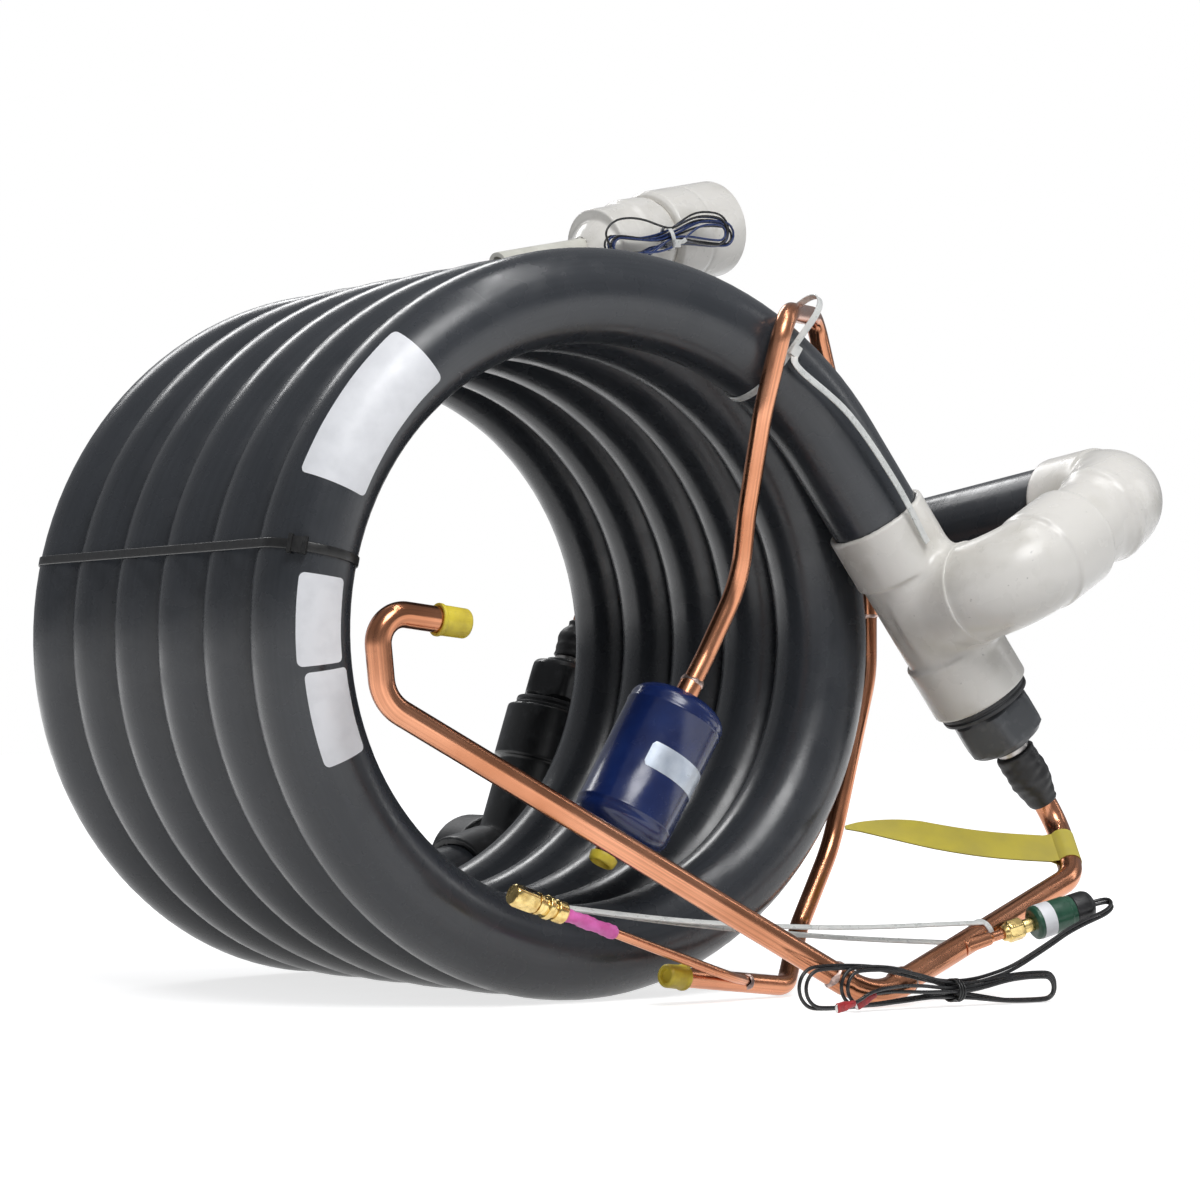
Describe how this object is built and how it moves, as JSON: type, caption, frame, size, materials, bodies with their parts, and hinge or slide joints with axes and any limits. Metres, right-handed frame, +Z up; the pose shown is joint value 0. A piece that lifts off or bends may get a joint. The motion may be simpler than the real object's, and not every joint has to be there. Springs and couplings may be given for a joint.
{
  "type": "titanium heat exchanger",
  "caption": "Coiled tube-in-tube water heat exchanger lying on its side: titanium tube in a plastic hose, plastic water fittings, copper refrigerant lines, drier and pressure switch.",
  "frame": {"origin": "under the middle of the rigid parts, on the floor that the coil lies on", "axes": "+Y along the coil's axis, from the tee end to the side outlet elbow; +Z up; +X to the side of the tee"},
  "size_m": [0.6501, 0.6194, 0.6007],
  "materials": {
    "hose": "satin black-grey hose",
    "titanium": "plain titanium tube",
    "white_fitting": "moulded, soft gloss",
    "dark_fitting": "moulded, dark grey",
    "bushing": "moulded, near black",
    "gland": "moulded, grey",
    "sleeve": "shrunk sleeve, satin",
    "copper": "bare copper tube, heat marks at the joints",
    "yellow_cap": "soft plastic cap",
    "tag": "yellow tag, blank",
    "label": "blank label",
    "drier_label": "blank label",
    "drier": "gloss blue paint",
    "drier_core": "moulded block",
    "brass": "turned brass",
    "switch_body": "green moulding",
    "boot": "black boot",
    "lead": "black lead",
    "sensor_lead": "blue and black lead",
    "terminal": "red sleeve on a tinned blade",
    "tape": "pink tape",
    "tie": "natural nylon",
    "strap": "black strap"
  },
  "bodies": {
    "root": {"outer_hose_1": "hose", "outer_hose_2": "hose", "outer_hose_3": "hose", "outer_hose_4": "hose", "outer_hose_5": "hose", "outer_hose_6": "hose", "return_hose": "hose", "titanium_tube": "titanium", "front_tee": "white_fitting", "branch_elbow": "white_fitting", "outlet_elbow": "white_fitting", "top_elbow": "white_fitting", "top_coupling": "white_fitting", "sensor_port": "white_fitting", "rear_elbow": "dark_fitting", "front_bushing": "bushing", "rear_bushing": "bushing", "front_gland": "gland", "rear_gland": "gland", "front_joint_sleeve": "sleeve", "rear_joint_sleeve": "sleeve", "discharge_tube_lower": "copper", "discharge_tube_upper": "copper", "discharge_elbow": "copper", "discharge_cap": "yellow_cap", "service_cap": "yellow_cap", "drier_plug": "yellow_cap", "hang_tag": "tag", "switch_stub": "copper", "switch_fitting": "brass", "pressure_switch": "switch_body", "switch_band": "label", "switch_boot": "boot", "drier_shell": "drier", "drier_stubs": "copper", "drier_core": "drier_core", "drier_label": "drier_label", "liquid_hook_tube": "copper", "liquid_tee": "copper", "liquid_return_tube": "copper", "service_tube": "copper", "valve_tube": "copper", "marker_tape": "tape", "service_valve": "brass", "valve_cap": "brass", "coil_strap": "strap", "strap_buckle": "strap", "top_tie": "tie", "long_tie": "tie", "label_large": "label", "label_upper": "label", "label_lower": "label", "switch_leads": "lead", "switch_lead_hank": "lead", "lead_tie": "strap", "spade_terminals": "terminal", "sensor_lead": "sensor_lead", "sensor_lead_hank": "sensor_lead", "sensor_tie": "tie"}
  },
  "joints": []
}
